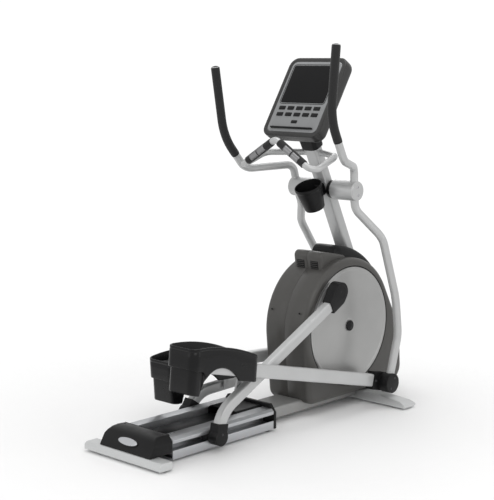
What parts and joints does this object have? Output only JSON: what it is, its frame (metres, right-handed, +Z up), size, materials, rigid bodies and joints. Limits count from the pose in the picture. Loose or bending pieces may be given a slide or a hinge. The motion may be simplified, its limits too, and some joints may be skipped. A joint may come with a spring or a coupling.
{
  "type": "elliptical trainer",
  "caption": "Elliptical trainer with suspended foot pedals, rails behind a shrouded front drive, swinging handlebars, a fixed handlebar and a tilted console.",
  "frame": {"origin": "on the floor, under the centre of the machine's bounding box", "axes": "+X forward towards the console, +Y to the machine's left, +Z up"},
  "size_m": [1.678, 0.718, 1.6443],
  "materials": {
    "foot_silver": "satin",
    "rubber_pads": "matte",
    "black_cover": "moulded, light texture",
    "rail_alloy": "brushed",
    "gloss_black": "polished",
    "frame_grey": "satin",
    "shroud_grey": "fine texture",
    "bezel_grey": "satin",
    "tube_silver": "metallic paint",
    "grip_foam": "dense foam",
    "bright_steel": "machined",
    "belt_rubber": "matte",
    "wheel_plastic": "satin",
    "disc_silver": "metallic paint",
    "flywheel_iron": "turned",
    "pedal_black": "semi-gloss",
    "foot_rubber": "ribbed"
  },
  "bodies": {
    "base": {"rear_foot": "foot_silver", "foot_pads": "rubber_pads", "rear_end_cap": "black_cover", "left_rail": "rail_alloy", "right_rail": "rail_alloy", "rail_cover": "gloss_black", "rail_bracket": "black_cover", "main_frame": "frame_grey", "front_foot": "foot_silver", "mast": "frame_grey", "left_shroud": "shroud_grey", "right_shroud": "shroud_grey", "mast_collar": "black_cover", "console_back": "shroud_grey", "console_bezel": "bezel_grey", "display_panel": "gloss_black", "static_handlebar": "tube_silver", "pulse_grips": "grip_foam", "cup_holder": "black_cover", "hub_axle": "bright_steel", "crank_bearings": "bright_steel", "drive_belt": "belt_rubber", "brake_unit": "bright_steel"},
    "wheels": {"transport_wheels": "wheel_plastic"},
    "start_button": {"start_key": "black_cover"},
    "crank": {"crank_axle": "bright_steel", "left_crank_disc": "disc_silver", "right_crank_disc": "disc_silver", "drive_pulley": "wheel_plastic"},
    "flywheel": {"flywheel": "flywheel_iron"},
    "right_carriage": {"right_roller_axle": "bright_steel"},
    "right_roller_wheel": {"right_roller": "wheel_plastic"},
    "right_link": {"right_link_arm": "tube_silver", "right_pin_housing": "black_cover", "right_roller_boot": "black_cover"},
    "right_hub": {"right_hub_bush": "bright_steel"},
    "right_swing": {"right_swing_arm": "tube_silver", "right_handlebar": "tube_silver", "right_grip": "grip_foam", "right_front_housing": "black_cover"},
    "right_front_axle": {"right_front_pin": "bright_steel"},
    "right_pedal": {"right_pedal_arm": "tube_silver", "right_arm_knuckle": "black_cover", "right_pedal_shell": "pedal_black", "right_foot_pad": "foot_rubber"},
    "left_carriage": {"left_roller_axle": "bright_steel"},
    "left_roller_wheel": {"left_roller": "wheel_plastic"},
    "left_link": {"left_link_arm": "tube_silver", "left_pin_housing": "black_cover", "left_roller_boot": "black_cover"},
    "left_hub": {"left_hub_bush": "bright_steel"},
    "left_swing": {"left_swing_arm": "tube_silver", "left_handlebar": "tube_silver", "left_grip": "grip_foam", "left_front_housing": "black_cover"},
    "left_front_axle": {"left_front_pin": "bright_steel"},
    "left_pedal": {"left_pedal_arm": "tube_silver", "left_arm_knuckle": "black_cover", "left_pedal_shell": "pedal_black", "left_foot_pad": "foot_rubber"}
  },
  "joints": [
    {"name": "crank_turn", "type": "hinge", "parent": "base", "child": "crank", "pos_m": [0.437, 0, 0.377], "axis": [0, -1, 0], "continuous": true},
    {"name": "flywheel_turn", "type": "hinge", "parent": "base", "child": "flywheel", "pos_m": [0.29204, 0, 0.52196], "axis": [0, -1, 0], "continuous": true},
    {"name": "wheels_turn", "type": "hinge", "parent": "base", "child": "wheels", "pos_m": [0.75, 0, 0.034], "axis": [0, -1, 0], "continuous": true},
    {"name": "start_press", "type": "slide", "parent": "base", "child": "start_button", "axis": [0.848, 0, -0.5299], "range_m": [0, 0.0015], "stiffness_N_per_m": 400},
    {"name": "stride", "type": "slide", "parent": "base", "child": "right_carriage", "axis": [1, 0, 0], "range_m": [-0.165, 0.315]},
    {"name": "right_roller_turn", "type": "hinge", "parent": "right_carriage", "child": "right_roller_wheel", "pos_m": [-0.47237, -0.117, 0.062], "axis": [0, -1, 0], "continuous": true},
    {"name": "link_lift", "type": "hinge", "parent": "right_carriage", "child": "right_link", "pos_m": [-0.47237, -0.175, 0.062], "axis": [0, -1, 0], "range_deg": [-28.7, 4.4]},
    {"name": "right_hub_turn", "type": "hinge", "parent": "base", "child": "right_hub", "pos_m": [0.4, -0.12, 0.998], "axis": [0, -1, 0], "range_deg": [-11.5, 21.8]},
    {"name": "right_swing_turn", "type": "hinge", "parent": "right_hub", "child": "right_swing", "pos_m": [0.4, -0.12, 0.998], "axis": [0, -1, 0], "range_deg": [-0.9, 5.3]},
    {"name": "right_front_axle_turn", "type": "hinge", "parent": "right_swing", "child": "right_front_axle", "pos_m": [0.5464, -0.218, 0.11506], "axis": [0, -1, 0], "range_deg": [-14.7, 7.8]},
    {"name": "right_pedal_turn", "type": "hinge", "parent": "right_front_axle", "child": "right_pedal", "pos_m": [0.5464, -0.218, 0.11506], "axis": [0, -1, 0], "range_deg": [-0.6, 3.2]},
    {"name": "left_stride", "type": "slide", "parent": "base", "child": "left_carriage", "axis": [1, 0, 0], "range_m": [-0.315, 0.165]},
    {"name": "left_roller_turn", "type": "hinge", "parent": "left_carriage", "child": "left_roller_wheel", "pos_m": [-0.30418, 0.117, 0.062], "axis": [0, -1, 0], "continuous": true},
    {"name": "left_link_lift", "type": "hinge", "parent": "left_carriage", "child": "left_link", "pos_m": [-0.30418, 0.175, 0.062], "axis": [0, -1, 0], "range_deg": [-4.4, 28.7]},
    {"name": "left_hub_turn", "type": "hinge", "parent": "base", "child": "left_hub", "pos_m": [0.4, 0.12, 0.998], "axis": [0, -1, 0], "range_deg": [-21.4, 11.3]},
    {"name": "left_swing_turn", "type": "hinge", "parent": "left_hub", "child": "left_swing", "pos_m": [0.4, 0.12, 0.998], "axis": [0, -1, 0], "range_deg": [-4.4, 0.8]},
    {"name": "left_front_axle_turn", "type": "hinge", "parent": "left_swing", "child": "left_front_axle", "pos_m": [0.77839, 0.218, 0.18692], "axis": [0, -1, 0], "range_deg": [-8, 15.2]},
    {"name": "left_pedal_turn", "type": "hinge", "parent": "left_front_axle", "child": "left_pedal", "pos_m": [0.77839, 0.218, 0.18692], "axis": [0, -1, 0], "range_deg": [-2.3, 0.5]}
  ],
  "couplings": [
    {"joint": "flywheel_turn", "follows": "crank_turn", "ratio": 6.3636},
    {"joint": "left_stride", "follows": "stride", "ratio": -1},
    {"joint": "left_link_lift", "follows": "link_lift", "ratio": -1},
    {"joint": "right_hub_turn", "follows": "stride", "rad_per_m": 1.204},
    {"joint": "right_swing_turn", "follows": "link_lift", "ratio": -0.1805},
    {"joint": "right_front_axle_turn", "follows": "stride", "rad_per_m": -0.8087},
    {"joint": "right_pedal_turn", "follows": "link_lift", "ratio": -0.1077},
    {"joint": "left_hub_turn", "follows": "stride", "rad_per_m": -1.18},
    {"joint": "left_swing_turn", "follows": "link_lift", "ratio": 0.1488},
    {"joint": "left_front_axle_turn", "follows": "stride", "rad_per_m": 0.833},
    {"joint": "left_pedal_turn", "follows": "link_lift", "ratio": 0.0756}
  ]
}
